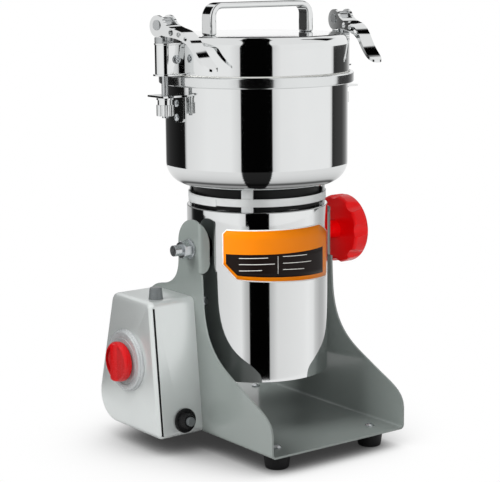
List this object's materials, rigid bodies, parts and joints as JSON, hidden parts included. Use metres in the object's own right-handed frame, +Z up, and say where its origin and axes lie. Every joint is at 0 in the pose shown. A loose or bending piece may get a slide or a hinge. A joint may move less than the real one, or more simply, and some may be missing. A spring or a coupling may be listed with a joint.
{
  "type": "electric grain mill",
  "caption": "Swing-type grain mill: steel bowl and lid with cam clamps on a motor drum that tilts in a sheet cradle with a side switch box.",
  "frame": {"origin": "middle of the bounding box's footprint, on the table under the rubber feet", "axes": "+Z up along the upright motor axis, +X from the switch box towards the tilt knob along the pivot axis, +Y to the rear, so the tray opens towards -Y"},
  "size_m": [0.2475, 0.217, 0.3983],
  "materials": {
    "painted_cradle": "satin grey hammered paint",
    "painted_box": "smooth silver-grey paint",
    "polished_steel": "mirror-polished stainless steel",
    "satin_steel": "satin stainless steel",
    "plated_steel": "bright zinc-plated steel",
    "dark_steel": "blackened steel",
    "cast_aluminium": "sand-cast aluminium",
    "laminated_steel": "varnished steel laminations",
    "copper": "enamelled copper wire",
    "red_plastic": "bright red moulded plastic",
    "grey_plastic": "grey moulded plastic",
    "dial_plastic": "silver-grey moulded plastic",
    "black_plastic": "black moulded plastic",
    "white_nylon": "natural nylon",
    "graphite": "pressed graphite",
    "black_rubber": "matt black rubber",
    "white_rubber": "white silicone",
    "seal_rubber": "brown sealing rubber"
  },
  "bodies": {
    "base": {"base_cradle": "painted_cradle", "rubber_feet": "black_rubber", "base_screws": "plated_steel", "switch_box": "painted_box", "dial_plate": "dial_plastic", "timer_switch": "black_plastic", "push_switch": "black_plastic", "breaker_body": "black_plastic", "breaker_collar": "black_plastic", "cord_gland": "black_plastic"},
    "tilt_knob": {"tilt_knob": "red_plastic"},
    "timer": {"timer_knob": "red_plastic", "timer_shaft": "plated_steel"},
    "start_button": {"start_button": "grey_plastic"},
    "breaker_pin": {"breaker_pin": "grey_plastic"},
    "head": {"drum_shell": "polished_steel", "drum_cover": "dark_steel", "head_screws": "plated_steel", "pivot_studs": "plated_steel", "pivot_spacers": "dark_steel", "pivot_washers": "plated_steel", "pivot_nut": "plated_steel", "neck_frame": "polished_steel", "motor_top_bracket": "cast_aluminium", "motor_bottom_bracket": "cast_aluminium", "motor_bolts": "plated_steel", "ball_bearings": "satin_steel", "stator_core": "laminated_steel", "field_coils": "copper", "brush_holders": "copper", "carbon_brushes": "graphite", "bowl": "polished_steel", "bowl_rim": "satin_steel", "bowl_hub": "cast_aluminium", "shaft_seal": "seal_rubber", "bowl_brackets": "polished_steel"},
    "rotor": {"motor_shaft": "satin_steel", "armature_core": "laminated_steel", "armature_coils": "copper", "commutator": "copper", "cooling_fan": "white_nylon", "lower_blade": "satin_steel", "middle_blade": "satin_steel", "upper_blade": "satin_steel", "blade_spacers": "satin_steel", "blade_nut": "satin_steel"},
    "lid": {"lid_shell": "polished_steel", "lid_gasket": "white_rubber", "lid_handle": "polished_steel", "lid_lugs": "polished_steel", "lug_screws": "plated_steel", "lug_saddles": "satin_steel"},
    "bolt_left": {"draw_bolt_left": "satin_steel"},
    "bolt_right": {"draw_bolt_right": "satin_steel"},
    "lever_left": {"cam_lever_left": "polished_steel", "lever_pin_left": "satin_steel"},
    "lever_right": {"cam_lever_right": "polished_steel", "lever_pin_right": "satin_steel"},
    "nut_left": {"adjusting_nut_left": "polished_steel"},
    "nut_right": {"adjusting_nut_right": "polished_steel"}
  },
  "joints": [
    {"name": "head_tilt", "type": "hinge", "parent": "base", "child": "head", "pos_m": [0.0154, 0.0105, 0.182], "axis": [1, 0, 0], "range_deg": [0, 100]},
    {"name": "tilt_knob_turn", "type": "hinge", "parent": "head", "child": "tilt_knob", "pos_m": [0.1004, 0.0105, 0.182], "axis": [1, 0, 0], "continuous": true},
    {"name": "timer_turn", "type": "hinge", "parent": "base", "child": "timer", "pos_m": [-0.1106, 0.0465, 0.08], "axis": [1, 0, 0], "range_deg": [0, 300]},
    {"name": "start_press", "type": "slide", "parent": "base", "child": "start_button", "axis": [0, 0, -1], "range_m": [0, 0.003], "stiffness_N_per_m": 600},
    {"name": "breaker_reset", "type": "slide", "parent": "base", "child": "breaker_pin", "axis": [0, 0.9952, -0.0976], "range_m": [0, 0.0025], "stiffness_N_per_m": 600},
    {"name": "rotor_spin", "type": "hinge", "parent": "head", "child": "rotor", "pos_m": [0.0154, 0.0105, 0.21], "axis": [0, 0, 1], "continuous": true},
    {"name": "lid_turn", "type": "hinge", "parent": "head", "child": "lid", "pos_m": [0.0154, 0.0105, 0.337], "axis": [0, 0, 1], "range_deg": [0, 20]},
    {"name": "bolt_left_slide", "type": "slide", "parent": "lid", "child": "bolt_left", "axis": [0, 0, -1], "range_m": [0, 0.002]},
    {"name": "lever_left_lift", "type": "hinge", "parent": "bolt_left", "child": "lever_left", "pos_m": [-0.0837, 0.0105, 0.3807], "axis": [-0.9903, -0.1392, 0], "range_deg": [0, 170]},
    {"name": "nut_left_turn", "type": "hinge", "parent": "bolt_left", "child": "nut_left", "pos_m": [-0.0837, 0.0105, 0.31], "axis": [0, 0, 1], "continuous": true},
    {"name": "bolt_right_slide", "type": "slide", "parent": "lid", "child": "bolt_right", "axis": [0, 0, -1], "range_m": [0, 0.002]},
    {"name": "lever_right_lift", "type": "hinge", "parent": "bolt_right", "child": "lever_right", "pos_m": [0.1145, 0.0105, 0.3807], "axis": [-0.9903, 0.1392, 0], "range_deg": [0, 170]},
    {"name": "nut_right_turn", "type": "hinge", "parent": "bolt_right", "child": "nut_right", "pos_m": [0.1145, 0.0105, 0.31], "axis": [0, 0, 1], "continuous": true}
  ],
  "couplings": [
    {"joint": "bolt_left_slide", "follows": "lever_left_lift", "m_per_rad": 0.000674},
    {"joint": "bolt_right_slide", "follows": "lever_right_lift", "m_per_rad": 0.000674}
  ]
}
